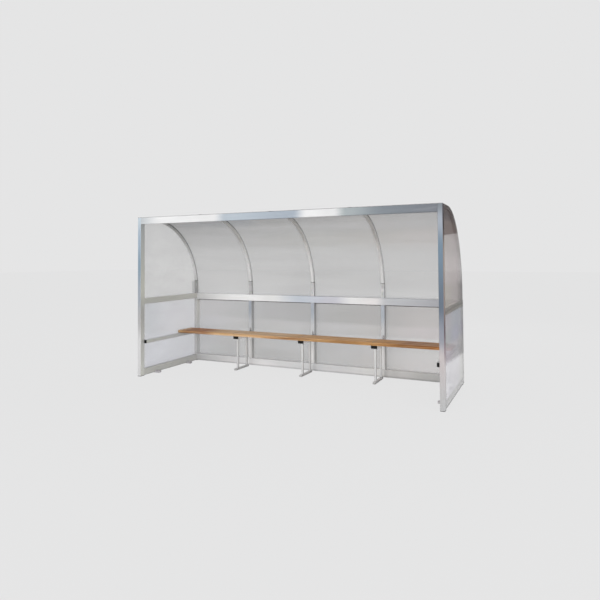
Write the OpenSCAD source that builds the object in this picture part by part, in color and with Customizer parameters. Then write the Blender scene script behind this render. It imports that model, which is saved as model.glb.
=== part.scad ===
// Open-fronted team shelter: a bay-built aluminium frame with curved clear
// sheets, end walls and a slatted bench.
// Millimetres. X runs along the length, the open front faces -Y, Z is up.
// The origin is at the middle of the footprint, on the ground.

/* [Overall] */
// Length over the end walls
overall_l = 4000; // [2000:50:8000]
// Depth from the front posts to the back wall
overall_d = 1380; // [1200:10:1800]
// Height to the top of the roof
overall_h = 2130; // [1900:10:2400]
// Number of equal bays along the length
bays = 4; // [2:1:8]

/* [Front frame] */
// Width of a front post, seen from the front
post_w = 50; // [40:1:80]
// Depth of the front posts and of the rear posts
post_d = 80; // [50:1:120]
// Height of the beam over the opening
header_h = 86; // [50:1:120]
// Depth of that beam
header_d = 50; // [40:1:80]
// Thickness of the pads under the corner posts
foot_t = 6; // [3:1:15]

/* [Rails] */
// Width of the end frame tubes
frame_w = 45; // [30:1:60]
// Height of the bottom rails in the end frames
bottom_rail_h = 84; // [50:1:140]
// Height of the rear bottom rail
bottom_rear_h = 98; // [50:1:140]
// Height of the rear middle rail
mid_rear_h = 92; // [50:1:120]
// Depth of the rear middle rail
mid_rear_d = 80; // [50:1:120]
// Height of the middle rails in the end frames
mid_side_h = 76; // [40:1:100]
// Wall of the large tubes
tube_wall = 3; // [1.5:0.5:5]
// Outside corner radius of the tubes
tube_r = 3; // [1:0.5:6]

/* [Roof ribs] */
// Inside radius of the curved roof sheets
roof_r = 1015; // [900:5:1100]
// Straight upright part of a rib below its curve
rib_rise = 72; // [0:2:160]
// Width of a curved rib
rib_w = 35; // [25:1:50]
// Thickness of a curved rib
rib_t = 35; // [25:1:50]
// Wall of the curved ribs
rib_wall = 2.5; // [1.5:0.5:4]
// How far the roof's foot stands in from the back wall
roof_step = 30; // [0:1:60]
// Height of the sleeve that holds a rib's foot
socket_h = 194; // [80:2:300]
// Wall of that sleeve
socket_wall = 5; // [3:0.5:8]

/* [Sheets] */
// Thickness of the clear sheets
sheet_t = 5; // [3:0.5:10]
// Gap between neighbouring sheets
sheet_gap = 2; // [1:0.5:5]
// Clearance between a curved sheet and the parts under it
curve_gap = 0.5; // [0.2:0.1:2]
// Height of the lower sheets' bottom edge above the ground
sheet_foot = 12; // [6:1:60]

/* [Bench] */
// Height of the seat
seat_h = 525; // [400:1:560]
// Distance from the seat's rear edge to the rear posts
seat_back_gap = 168; // [20:2:300]
// Number of boards
slats = 3; // [3:1:3]
// Width of a board
slat_w = 98; // [60:1:140]
// Thickness of a board
slat_t = 38; // [25:1:50]
// Gap between boards
slat_gap = 14; // [5:1:25]
// Free space between a board's end and the end frame
slat_end = 10; // [5:1:40]
// Width of the tube at each end of the bench
end_bearer_w = 40; // [30:1:60]
// Height of that tube
end_bearer_h = 45; // [30:1:60]
// Thickness of the packing strip between that tube and the boards
end_packer_t = 9; // [5:1:20]
// How far that tube's capped end laps over the front post
end_bearer_lap = 9; // [5:1:30]
// Gap between that tube's rear end and the back sheet
end_bearer_gap = 5; // [2:1:20]
// Width of the flat tube over each bench stand
mid_bearer_w = 80; // [50:1:100]
// Height of that tube
mid_bearer_h = 50; // [30:1:60]
// How far that tube's cap lies behind the seat's front edge
mid_bearer_setback = 80; // [20:2:200]
// Wall of the bench tubes
bench_wall = 2.5; // [1.5:0.5:4]
// Thickness of the caps on the bench tubes
cap_t = 4; // [2:0.5:8]
// Size of the square legs
leg_w = 25; // [18:1:40]
// Distance from the rear leg's middle to the rear posts
leg_back_gap = 103; // [20:1:150]
// Distance between the middles of the two legs of a stand
leg_spacing = 248; // [150:2:300]
// How far the foot bar reaches in front of the front leg's middle
foot_bar_toe = 75; // [40:1:200]
// How far the foot bar reaches behind the rear leg's middle
foot_bar_heel = 33; // [20:1:100]
// Width of the foot bar
foot_bar_w = 35; // [25:1:50]
// Height of the foot bar
foot_bar_h = 25; // [15:1:40]

/* [Ground lugs] */
// Width of a lug along the depth
lug_w = 50; // [40:2:100]
// How far a lug reaches in from the end frame
lug_reach = 75; // [35:1:100]
// Height of the block beside the end frame
lug_h = 25; // [12:1:40]
// Distance from the lug hole to the end frame's inner face
lug_hole_in = 38; // [15:1:60]
// Hole diameter
lug_hole_d = 14; // [8:1:20]
// Distance from the front of the shelter to the front lugs
lug_front_y = 315; // [200:1:500]
// Distance between the front and rear lugs
lug_spacing = 726; // [500:1:900]

/* [Hidden] */
$fn = 96;
// Length of one bay
bay = overall_l / bays;
// Underside of the roof sheet's flat part
under_roof = overall_h - sheet_t;
rib_r = roof_r - curve_gap;
// Middle of the roof's curve, from the front and from the ground
curve_y = overall_d - roof_step - sheet_t - roof_r;
curve_z = under_roof - roof_r;
// The ribs stand on the middle rails' top face
mid_top = curve_z - rib_rise;
bottom_top = foot_t + bottom_rail_h;
bottom_rear_top = foot_t + bottom_rear_h;
// Back faces of the frame
back_y = overall_d - sheet_t;
rear_post_y = back_y - post_d;
mid_rear_y = back_y - mid_rear_d;
// Inside face of an end frame, measured from the outside
end_in = sheet_t + frame_w;
bearer_top = seat_h - slat_t;
end_bearer_top = bearer_top - end_packer_t;
end_bearer_z = end_bearer_top - end_bearer_h;
mid_bearer_z = bearer_top - mid_bearer_h;
header_z = under_roof - header_h;
// The bench keeps its place in front of the rear posts
seat_d = slats * slat_w + (slats - 1) * slat_gap;
seat_front = rear_post_y - seat_back_gap - seat_d;
mid_bearer_front = seat_front + mid_bearer_setback;
leg_rear_y = rear_post_y - leg_back_gap;
foot_bar_front = leg_rear_y - leg_spacing - foot_bar_toe;
foot_bar_d = leg_spacing + foot_bar_toe + foot_bar_heel;
end_bearer_front = post_d - end_bearer_lap;
// Line along the inner face of the rear middle rail
groove_h = 3;
groove_t = tube_wall / 2;
// How far a cut runs past the face that it opens
past = 1;

// Puts a part drawn from the front left corner into the row's frame.
module placed() {
  translate([-overall_l / 2, -overall_d / 2, 0])
    children();
}

// The same, turned over to the other end of the shelter.
module both_ends(left) {
  if (left)
    children();
  else
    translate([overall_l, 0, 0])
      mirror([1, 0, 0])
        children();
}

// A rectangle with rounded corners, from its lower left corner.
module rounded(w, h, r) {
  translate([r, 0])
    square([w - 2 * r, h]);
  translate([0, r])
    square([w, h - 2 * r]);
  for (x = [r, w - r])
    for (y = [r, h - r])
      translate([x, y])
        circle(r = r, $fn = 24);
}

module ring(w, h, wall) {
  difference() {
    rounded(w, h, tube_r);
    translate([wall, wall])
      square([w - 2 * wall, h - 2 * wall]);
  }
}

// Box tubes along each axis, from their lowest corner.
module tube_z(size, wall) {
  linear_extrude(height = size[2])
    ring(size[0], size[1], wall);
}

module tube_x(size, wall) {
  rotate([90, 0, 90])
    linear_extrude(height = size[0])
      ring(size[1], size[2], wall);
}

module tube_y(size, wall) {
  translate([0, size[1], 0])
    rotate([90, 0, 0])
      linear_extrude(height = size[1])
        ring(size[0], size[2], wall);
}

// Sweeps a drawing round the roof's curve, up from its lower end. In the
// drawing, x is the distance from the curve's axis and y is along the shelter.
module round_roof(angle) {
  translate([0, curve_y, curve_z])
    rotate([90, 0, 90])
      rotate_extrude(angle = angle, $fn = 180)
        children();
}

// ---- Front frame ----

module front_post(left) {
  color([0.80, 0.82, 0.85])
    placed()
      both_ends(left)
        translate([0, 0, foot_t])
          tube_z([post_w, post_d, under_roof - foot_t], tube_wall);
}

module header_beam() {
  color([0.80, 0.82, 0.85])
    placed()
      translate([post_w, 0, header_z])
        tube_x([overall_l - 2 * post_w, header_d, header_h], tube_wall);
}

// ---- Lower frame ----

module bottom_rail_side(left) {
  color([0.74, 0.76, 0.77])
    placed()
      both_ends(left)
        translate([sheet_t, post_d, foot_t])
          tube_y([frame_w, rear_post_y - post_d, bottom_rail_h], tube_wall);
}

module bottom_rail_rear() {
  color([0.74, 0.76, 0.77])
    placed()
      translate([end_in, rear_post_y, foot_t])
        tube_x([overall_l - 2 * end_in, post_d, bottom_rear_h], tube_wall);
}

module mid_rail_side(left) {
  color([0.74, 0.76, 0.77])
    placed()
      both_ends(left)
        translate([sheet_t, post_d, mid_top - mid_side_h])
          tube_y([frame_w, mid_rear_y - post_d, mid_side_h], tube_wall);
}

module mid_rail_rear() {
  color([0.78, 0.80, 0.82])
    placed()
      difference() {
        translate([sheet_t, mid_rear_y, mid_top - mid_rear_h])
          tube_x([overall_l - 2 * sheet_t, mid_rear_d, mid_rear_h], tube_wall);
        translate([0, mid_rear_y - past, mid_top - mid_rear_h / 2 - groove_h / 2])
          cube([overall_l, groove_t + past, groove_h]);
      }
}

module rear_post(left) {
  color([0.74, 0.76, 0.77])
    placed()
      both_ends(left)
        translate([sheet_t, rear_post_y, foot_t])
          tube_z([frame_w, post_d, mid_top - mid_rear_h - foot_t], tube_wall);
}

module rear_posts_middle() {
  color([0.74, 0.76, 0.77])
    placed()
      for (i = [1 : bays - 1])
        translate([i * bay - post_w / 2, rear_post_y, bottom_rear_top])
          tube_z([post_w, post_d, mid_top - mid_rear_h - bottom_rear_top], tube_wall);
}

// ---- Roof ribs ----

// Draws one rib with its left side at x, its top end at y: an upright part,
// the quarter curve and the level part to the front.
module rib_at(x, y) {
  color([0.80, 0.81, 0.82])
    placed() {
      translate([x, curve_y + rib_r - rib_t, mid_top])
        tube_z([rib_w, rib_t, rib_rise], rib_wall);
      round_roof(90)
        translate([rib_r - rib_t, x])
          ring(rib_t, rib_w, rib_wall);
      translate([x, y, curve_z + rib_r - rib_t])
        tube_y([rib_w, curve_y - y, rib_t], rib_wall);
    }
}

module rib_end(left) {
  rib_at(left ? sheet_t : overall_l - sheet_t - rib_w, post_d);
}

module rib_middle(i) {
  rib_at(i * bay - rib_w / 2, header_d);
}

// One sleeve round a rib's foot, upright and then curved with the rib;
// first and last are the outside faces of its cheeks.
module socket_at(x, first, last) {
  inner = rib_r - rib_t;
  translate([first, curve_y + inner - socket_wall, mid_top])
    cube([last - first, socket_wall, rib_rise]);
  round_roof(asin((socket_h - rib_rise) / roof_r))
    translate([inner - socket_wall, first])
      square([socket_wall, last - first]);
  if (first < x)
    socket_cheek(first);
  if (last > x + rib_w)
    socket_cheek(last - socket_wall);
}

module socket_cheek(x) {
  inner = rib_r - rib_t;
  translate([x, curve_y + inner, mid_top])
    cube([socket_wall, rib_t, rib_rise]);
  round_roof(asin((socket_h - rib_rise) / roof_r))
    translate([inner, x])
      square([rib_t, socket_wall]);
}

module rib_sockets() {
  color([0.66, 0.67, 0.68])
    placed() {
      socket_at(sheet_t, sheet_t, sheet_t + rib_w + socket_wall);
      for (i = [1 : bays - 1]) {
        x = i * bay - rib_w / 2;
        socket_at(x, x - socket_wall, x + rib_w + socket_wall);
      }
      right = overall_l - sheet_t;
      socket_at(right - rib_w, right - rib_w - socket_wall, right);
    }
}

// ---- Sheets ----

// Left and right edge of the sheet over bay i, counted from 0.
function sheet_x0(i) = i == 0 ? 0 : i * bay + sheet_gap / 2;
function sheet_x1(i) = i == bays - 1 ? overall_l : (i + 1) * bay - sheet_gap / 2;

module roof_sheet(i) {
  width = sheet_x1(i) - sheet_x0(i);
  color([0.80, 0.81, 0.82, 0.5])
    placed() {
      translate([sheet_x0(i), curve_y + roof_r, mid_top])
        cube([width, sheet_t, rib_rise]);
      round_roof(90)
        translate([roof_r, sheet_x0(i)])
          square([sheet_t, width]);
      translate([sheet_x0(i), 0, under_roof])
        cube([width, curve_y, sheet_t]);
    }
}

module back_sheet(i) {
  color([0.80, 0.81, 0.82, 0.5])
    placed()
      translate([sheet_x0(i), back_y, sheet_foot])
        cube([sheet_x1(i) - sheet_x0(i), sheet_t, mid_top - sheet_foot]);
}

// The end walls meet half way up the middle rail.
module side_sheet_lower(left) {
  joint = mid_top - mid_side_h / 2;
  color([0.80, 0.80, 0.84, 0.5])
    placed()
      both_ends(left)
        translate([0, post_d + sheet_gap, sheet_foot])
          cube([sheet_t, back_y - post_d - sheet_gap, joint - sheet_gap / 2 - sheet_foot]);
}

module side_sheet_upper(left) {
  joint = mid_top - mid_side_h / 2 + sheet_gap / 2;
  front = post_d + sheet_gap;
  color([0.80, 0.78, 0.78, 0.5])
    placed()
      both_ends(left) {
        translate([0, front, joint])
          cube([sheet_t, back_y - front, mid_top - joint]);
        translate([0, front, mid_top])
          cube([sheet_t, curve_y + rib_r - front, rib_rise]);
        translate([0, front, curve_z])
          cube([sheet_t, curve_y - front, rib_r]);
        round_roof(90)
          square([rib_r, sheet_t]);
      }
}

// ---- Bench ----

module seat_board(i) {
  color([0.66, 0.48, 0.30])
    placed()
      translate([end_in + slat_end, seat_front + i * (slat_w + slat_gap), bearer_top])
        cube([overall_l - 2 * (end_in + slat_end), slat_w, slat_t]);
}

// The tube along an end wall, with the packing strip that lifts the boards.
module seat_bearer_end(left) {
  front = end_bearer_front + cap_t;
  sunk = bench_wall / 2;
  color([0.74, 0.76, 0.77])
    placed()
      both_ends(left) {
        translate([end_in, front, end_bearer_z])
          tube_y([end_bearer_w, back_y - end_bearer_gap - front, end_bearer_h], bench_wall);
        translate([end_in + slat_end, seat_front, end_bearer_top - sunk])
          cube([end_bearer_w - slat_end - tube_r, seat_d, end_packer_t + sunk]);
      }
}

module seat_bearers_middle() {
  front = mid_bearer_front + cap_t;
  color([0.74, 0.76, 0.77])
    placed()
      for (i = [1 : bays - 1])
        translate([i * bay - mid_bearer_w / 2, front, mid_bearer_z])
          tube_y([mid_bearer_w, rear_post_y - front, mid_bearer_h], bench_wall);
}

// One cap from its lower left corner, w by h, with its front face at y.
module cap_at(x, y, z, w, h) {
  translate([x, y + cap_t, z])
    rotate([90, 0, 0])
      linear_extrude(height = cap_t)
        rounded(w, h, tube_r);
}

module bearer_caps() {
  color([0.05, 0.05, 0.05])
    placed() {
      for (i = [1 : bays - 1])
        cap_at(i * bay - mid_bearer_w / 2, mid_bearer_front, mid_bearer_z,
               mid_bearer_w, mid_bearer_h);
      for (left = [true, false])
        both_ends(left)
          cap_at(end_in, end_bearer_front, end_bearer_z, end_bearer_w, end_bearer_h);
    }
}

// A foot bar on the ground, closed at both ends, with two legs up to the
// flat tube.
module bench_stand(i) {
  color([0.80, 0.82, 0.84])
    placed() {
      translate([i * bay - foot_bar_w / 2, foot_bar_front, 0]) {
        tube_y([foot_bar_w, foot_bar_d, foot_bar_h], bench_wall);
        for (y = [0, foot_bar_d - bench_wall])
          translate([bench_wall / 2, y, bench_wall / 2])
            cube([foot_bar_w - bench_wall, bench_wall, foot_bar_h - bench_wall]);
      }
      for (y = [leg_rear_y - leg_spacing, leg_rear_y])
        translate([i * bay - leg_w / 2, y - leg_w / 2, foot_bar_h - bench_wall / 2])
          tube_z([leg_w, leg_w, mid_bearer_z - foot_bar_h + bench_wall / 2], bench_wall);
    }
}

// ---- Feet ----

module corner_pads() {
  color([0.20, 0.20, 0.21])
    placed()
      for (left = [true, false])
        both_ends(left) {
          linear_extrude(height = foot_t)
            rounded(post_w, post_d, tube_r);
          translate([sheet_t, rear_post_y, 0])
            linear_extrude(height = foot_t)
              rounded(frame_w, post_d, tube_r);
        }
}

// Plates under the end frames, each with a block beside the frame that a
// ground anchor goes through.
module ground_lugs() {
  color([0.55, 0.56, 0.57])
    placed()
      for (left = [true, false])
        both_ends(left)
          for (y = [lug_front_y, lug_front_y + lug_spacing])
            difference() {
              union() {
                translate([sheet_t, y - lug_w / 2, 0])
                  cube([frame_w + lug_reach, lug_w, foot_t]);
                translate([end_in, y - lug_w / 2, 0])
                  cube([lug_reach, lug_w, lug_h]);
              }
              translate([end_in + lug_hole_in, y, -past])
                cylinder(d = lug_hole_d, h = lug_h + 2 * past, $fn = 48);
            }
}

front_post(true);  // front_post_left
front_post(false);  // front_post_right
header_beam();
bottom_rail_side(true);  // bottom_rail_left
bottom_rail_side(false);  // bottom_rail_right
bottom_rail_rear();
mid_rail_side(true);  // mid_rail_left
mid_rail_side(false);  // mid_rail_right
mid_rail_rear();
rear_post(true);  // rear_post_left
rear_post(false);  // rear_post_right
rear_posts_middle();
rib_end(true);  // rib_left
rib_middle(1);  // rib_1
rib_middle(2);  // rib_2
rib_middle(3);  // rib_3
rib_end(false);  // rib_right
rib_sockets();
roof_sheet(0);  // roof_sheet_1
roof_sheet(1);  // roof_sheet_2
roof_sheet(2);  // roof_sheet_3
roof_sheet(3);  // roof_sheet_4
back_sheet(0);  // back_sheet_1
back_sheet(1);  // back_sheet_2
back_sheet(2);  // back_sheet_3
back_sheet(3);  // back_sheet_4
side_sheet_upper(true);  // side_sheet_upper_left
side_sheet_upper(false);  // side_sheet_upper_right
side_sheet_lower(true);  // side_sheet_lower_left
side_sheet_lower(false);  // side_sheet_lower_right
seat_board(0);  // seat_board_front
seat_board(1);  // seat_board_middle
seat_board(2);  // seat_board_rear
seat_bearer_end(true);  // seat_bearer_left
seat_bearer_end(false);  // seat_bearer_right
seat_bearers_middle();
bench_stand(1);  // bench_stand_1
bench_stand(2);  // bench_stand_2
bench_stand(3);  // bench_stand_3
bearer_caps();
corner_pads();
ground_lugs();
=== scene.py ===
import math

import bmesh
import bpy
from mathutils import Euler, Matrix, Vector


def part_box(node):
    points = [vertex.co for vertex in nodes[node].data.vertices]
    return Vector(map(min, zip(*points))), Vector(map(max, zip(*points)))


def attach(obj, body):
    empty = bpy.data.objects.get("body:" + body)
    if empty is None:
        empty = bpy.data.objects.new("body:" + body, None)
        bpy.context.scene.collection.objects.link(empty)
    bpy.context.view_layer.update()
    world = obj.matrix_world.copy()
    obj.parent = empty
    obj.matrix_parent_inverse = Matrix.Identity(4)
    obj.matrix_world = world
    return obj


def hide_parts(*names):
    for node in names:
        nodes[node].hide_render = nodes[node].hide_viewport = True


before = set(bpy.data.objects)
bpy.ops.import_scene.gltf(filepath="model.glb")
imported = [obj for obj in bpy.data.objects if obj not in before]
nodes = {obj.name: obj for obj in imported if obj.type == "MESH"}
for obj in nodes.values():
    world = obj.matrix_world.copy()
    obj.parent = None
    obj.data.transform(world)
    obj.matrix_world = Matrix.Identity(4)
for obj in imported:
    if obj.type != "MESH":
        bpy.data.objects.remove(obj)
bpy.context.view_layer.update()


# ---- Viewpoint ----
# A camera at head height, in front of the shelter and beyond its right end,
# turned to the left. It is almost level, so the uprights stay nearly parallel.

lens = bpy.data.cameras.new("viewpoint")
lens.sensor_width = 36
lens.lens = 32.53
lens.shift_x = 0.0326
lens.shift_y = -0.0928
viewpoint = bpy.data.objects.new("viewpoint", lens)
bpy.context.collection.objects.link(viewpoint)
viewpoint.location = (2.9662, -6.3970, 1.5581)
tilt, swing, roll = (math.radians(angle) for angle in (91.5712, 26.2967, -0.2886))
turned = Euler((tilt, 0, swing)).to_matrix()
viewpoint.rotation_euler = (turned @ Matrix.Rotation(roll, 3, "Z")).to_euler()
bpy.context.scene.camera = viewpoint


# ---- Studio ----
# A wide pale floor and a pale surround, with three large soft lamps: one in
# front, one at the right that fills the end faces, and a weak one behind.

class Line:
    """One output of a node tree, with arithmetic on it."""

    def __init__(self, tree, socket):
        self.tree, self.socket = tree, socket

    def math(self, operation, *values):
        return self.tree.node("ShaderNodeMath", {"operation": operation}, dict(enumerate(values)))[0]

    def __add__(self, other):
        return self.math("ADD", self, other)

    def __sub__(self, other):
        return self.math("SUBTRACT", self, other)

    def __rsub__(self, other):
        return self.math("SUBTRACT", other, self)

    def __mul__(self, other):
        return self.math("MULTIPLY", self, other)

    def __truediv__(self, other):
        return self.math("DIVIDE", self, other)

    def __pow__(self, other):
        return self.math("POWER", self, other)

    __radd__, __rmul__ = __add__, __mul__

    def most(self, other):
        return self.math("MAXIMUM", self, other)

    def least(self, other):
        return self.math("MINIMUM", self, other)

    def within(self):
        return self.most(0.0).least(1.0)

    def size(self):
        return self.math("ABSOLUTE", self)


class Made:
    """A node that has been made; its outputs go by name or by place."""

    def __init__(self, tree, made):
        self.tree, self.made = tree, made

    def __getitem__(self, key):
        return Line(self.tree, self.made.outputs[key])


def shade(colour):
    """A colour is three numbers, or one number where it is grey; both come back with full cover."""
    return (*colour, 1) if isinstance(colour, tuple) else (colour, colour, colour, 1)


class Tree:
    """A node tree that is filled by one call for each node."""

    def __init__(self, tree):
        self.tree = tree

    def node(self, kind, settings=None, values=None):
        made = self.tree.nodes.new(kind)
        for key, value in (settings or {}).items():
            if key == "stops":
                self.stops(made.color_ramp, value)
            else:
                setattr(made, key, value)
        return self.fill(made, values)

    def fill(self, made, values):
        for key, value in (values or {}).items():
            for one in value if isinstance(value, list) else [value]:
                if isinstance(one, Line):
                    self.tree.links.new(one.socket, made.inputs[key])
                else:
                    made.inputs[key].default_value = one
        return Made(self, made)

    def stops(self, ramp, stops):
        ramp.interpolation = "EASE"
        while len(ramp.elements) < len(stops):
            ramp.elements.new(1.0)
        for element, (place, colour) in zip(ramp.elements, stops):
            element.position = place
            element.color = shade(colour)


PALE = (0.783, 0.783, 0.785, 1)

studio_air = bpy.data.worlds.new("studio_air")
studio_air.use_nodes = True
bpy.context.scene.world = studio_air
air = Tree(studio_air.node_tree)
rays = air.node("ShaderNodeLightPath")
shown = rays["Is Camera Ray"].most(rays["Is Glossy Ray"]).most(rays["Is Transmission Ray"])
air.fill(studio_air.node_tree.nodes["Background"], {"Color": PALE, "Strength": 0.88 + 0.12 * shown})

floor_mesh = bpy.data.meshes.new("studio_floor")
floor_mesh.from_pydata([(-60, -60, 0), (60, -60, 0), (60, 60, 0), (-60, 60, 0)], [], [(0, 1, 2, 3)])
floor = bpy.data.objects.new("studio_floor", floor_mesh)
bpy.context.collection.objects.link(floor)
floor_paint = bpy.data.materials.new("studio_floor")
floor_paint.use_nodes = True
ground = Tree(floor_paint.node_tree)
painted = floor_paint.node_tree.nodes["Principled BSDF"]
ground.fill(painted, {"Base Color": shade(0.80), "Roughness": 0.9, "Specular IOR Level": 0.1})
glow = ground.node("ShaderNodeEmission", None, {"Color": PALE, "Strength": 1.0})["Emission"]
seen = ground.node("ShaderNodeLightPath")["Is Camera Ray"]
both = ground.node("ShaderNodeMixShader", None, {
    0: 0.93 * seen, 1: Line(ground, painted.outputs[0]), 2: glow})
ground.fill(floor_paint.node_tree.nodes["Material Output"], {"Surface": both[0]})
floor_mesh.materials.append(floor_paint)

lit_spot = Vector((0, 0, 0.9))
for label, place, size, power in (
    ("window", (-1.6, -8.0, 1.8), 5.0, 200),
    ("side_fill", (7.0, -4.4, 1.3), 4.4, 220),
    ("back_fill", (1.0, 6.5, 4.8), 5.0, 70),
):
    lamp = bpy.data.lights.new(label, "AREA")
    lamp.shape, lamp.size, lamp.energy = "DISK", size, power
    holder = bpy.data.objects.new(label, lamp)
    bpy.context.collection.objects.link(holder)
    holder.visible_camera = False
    holder.location = place
    holder.rotation_euler = (Vector(place) - lit_spot).to_track_quat("Z", "Y").to_euler()

bpy.context.scene.view_settings.view_transform = "Standard"


# ---- Front frame ----
# Two upright box tubes and a beam between them, extruded aluminium in mill
# finish, welded at the corners. The drawn skin has fine lines along each tube.
# The light and dark lengths and patches along each tube are painted
# reflections of sky and surroundings, and the faces turned to the ends have
# their own painted shading.

# The directions along the shelter, from front to back, and up.
LENGTH, DEPTH, HEIGHT = 0, 1, 2


class Finish(Tree):
    """A material on the object's own coordinates, with its Principled shader."""

    def __init__(self, name):
        self.material = bpy.data.materials.new(name)
        self.material.use_nodes = True
        super().__init__(self.material.node_tree)
        self.shader = self.tree.nodes["Principled BSDF"]
        place = self.node("ShaderNodeTexCoord")
        self.at = place["Object"]
        where = self.node("ShaderNodeSeparateXYZ", None, {0: self.at})
        self.along = [where[i] for i in range(3)]
        faces = self.node("ShaderNodeSeparateXYZ", None, {0: place["Normal"]})
        self.facing = [faces[i] for i in range(3)]

    def noise(self, stretch, detail=3.0, rough=0.5, shift=(0, 0, 0), warp=0.0):
        """Stretch is one number where the pattern is even, or one for each direction."""
        if isinstance(stretch, float):
            stretch = (stretch, stretch, stretch)
        moved = self.node("ShaderNodeMapping", None, {"Vector": self.at, "Location": shift, "Scale": stretch})
        return self.node("ShaderNodeTexNoise", None, {
            "Vector": moved[0], "Scale": 1.0, "Detail": detail, "Roughness": rough, "Distortion": warp})[0]

    def ramp(self, value, stops):
        return self.node("ShaderNodeValToRGB", {"stops": stops}, {0: value})["Color"]

    def band(self, value, low, high):
        """0 below low and 1 above high, with a soft step between."""
        return self.node("ShaderNodeMapRange", {"interpolation_type": "SMOOTHSTEP"}, {
            "Value": value, "From Min": low, "From Max": high})[0]

    def end_faces(self, low=0.45, high=0.85):
        """1 on faces that are turned to the ends of the shelter, 0 on the others."""
        return self.band(self.facing[LENGTH].size(), low, high)

    def mix(self, share, first, second, way="MIX"):
        pair = {6: first, 7: second}
        for place, colour in pair.items():
            if not isinstance(colour, Line):
                pair[place] = shade(colour)
        return self.node("ShaderNodeMix", {"data_type": "RGBA", "blend_type": way}, {0: share, **pair})[2]

    def bump(self, height, strength, depth):
        return self.node("ShaderNodeBump", None, {
            "Height": height, "Strength": strength, "Distance": depth})[0]


def aluminium(name, axis, low, high, tones, sides=None, metal=0.35, gloss=0.5, edge_shade=None):
    """Mill finish on a tube that runs along an axis from low to high. Tones are (place along it from 0 to 1,
    colour): light and dark lengths of painted reflection and painted shade. Sides are the same for the faces
    turned to the ends of the shelter, with their own painted shading. The last argument is the height below
    which painted shade darkens the lowest edge, and how much."""
    f = Finish(name)
    lines, patches = [900.0] * 3, [14.0] * 3
    lines[axis], patches[axis] = 3.0, 1.6
    drawn = f.noise(tuple(lines), 2.0, 0.6)
    cloud = f.noise(tuple(patches), 3.0, 0.55, (3.1, 1.7, 5.3))
    run = (f.along[axis] - low) / (high - low) + 0.03 * (cloud - 0.5)
    # Painted reflections and painted shade: light and dark lengths along the tube.
    skin = f.ramp(run, tones)
    # The faces turned to the ends get their own painted shading.
    if sides:
        skin = f.mix(f.end_faces(), skin, f.ramp(run, sides))
    # Blue-grey patches are a painted reflection of the sky. The fine drawn lines darken the skin a little
    # too.
    sky_patches_and_lines = 0.5 * (cloud - 0.46).within() + 0.12 * (drawn - 0.5).within()
    skin = f.mix(sky_patches_and_lines, skin, (0.33, 0.36, 0.39))
    # White patches are painted highlights.
    skin = f.mix(0.5 * (cloud - 0.58).within(), skin, 0.95)
    # Painted shade along the lowest edge.
    if edge_shade:
        edge, share = edge_shade
        skin = f.mix((1.0 - f.band(f.along[HEIGHT], edge - 0.006, edge)) * share, skin, 0.14)
    f.fill(f.shader, {
        "Base Color": skin, "Metallic": metal, "Roughness": 0.34 + 0.20 * drawn, "Specular IOR Level": gloss,
        "Normal": f.bump(drawn, 0.25, 0.0004)})
    return f.material


def dress(material, *names):
    for name in names:
        faces = nodes[name].data
        faces.materials.clear()
        faces.materials.append(material)


# The tones below are painted reflections and painted shade: light where the sky shows, dark where the
# surroundings do. The right post's end faces are darkest at its top.
dress(aluminium(
    "left_post_aluminium", HEIGHT, 0.0, 2.13,
    [(0.0, 0.70), (0.20, 0.70), (0.35, 0.46), (0.50, (0.36, 0.40, 0.45)), (0.70, (0.25, 0.34, 0.42)),
     (0.85, (0.36, 0.45, 0.54)), (1.0, (0.56, 0.64, 0.70))],
    [(0.0, (0.75, 0.75, 0.70)), (0.20, (0.65, 0.65, 0.62)), (0.40, (0.50, 0.50, 0.48)),
     (0.52, (0.60, 0.60, 0.54)), (1.0, (0.48, 0.50, 0.50))]),
    "front_post_left")
dress(aluminium(
    "right_post_aluminium", HEIGHT, 0.0, 2.13,
    [(0.0, 0.48), (0.25, (0.50, 0.46, 0.46)), (0.35, (0.27, 0.28, 0.32)), (0.50, (0.13, 0.16, 0.20)),
     (0.78, (0.16, 0.22, 0.28)), (0.92, (0.32, 0.35, 0.40)), (1.0, (0.20, 0.22, 0.24))],
    [(0.0, 0.50), (0.20, (0.56, 0.53, 0.53)), (0.28, (0.30, 0.24, 0.26)), (0.38, (0.14, 0.11, 0.12)),
     (0.50, (0.27, 0.22, 0.20)), (0.75, (0.30, 0.25, 0.22)), (0.90, (0.04, 0.03, 0.03)),
     (1.0, (0.07, 0.06, 0.07))], 0.12, 0.0),
    "front_post_right")
dress(aluminium(
    "beam_aluminium", LENGTH, -2.0, 2.0,
    [(0.0, (0.55, 0.58, 0.60)), (0.10, 0.85), (0.30, 0.72), (0.35, (0.40, 0.45, 0.50)),
     (0.58, (0.27, 0.31, 0.36)), (0.62, 0.60), (0.70, 0.55), (0.74, (0.26, 0.29, 0.30)),
     (0.85, (0.14, 0.16, 0.18)), (1.0, (0.13, 0.14, 0.16))]),
    "header_beam")


# ---- Lower frame ----
# Rails at the ground and at half height round both ends and the back, with
# uprights between them: the same aluminium tube, cut square and welded. The
# long light and dull lengths along the rails are painted reflections of the
# sky, and their dark lowest edges are painted shade.

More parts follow.
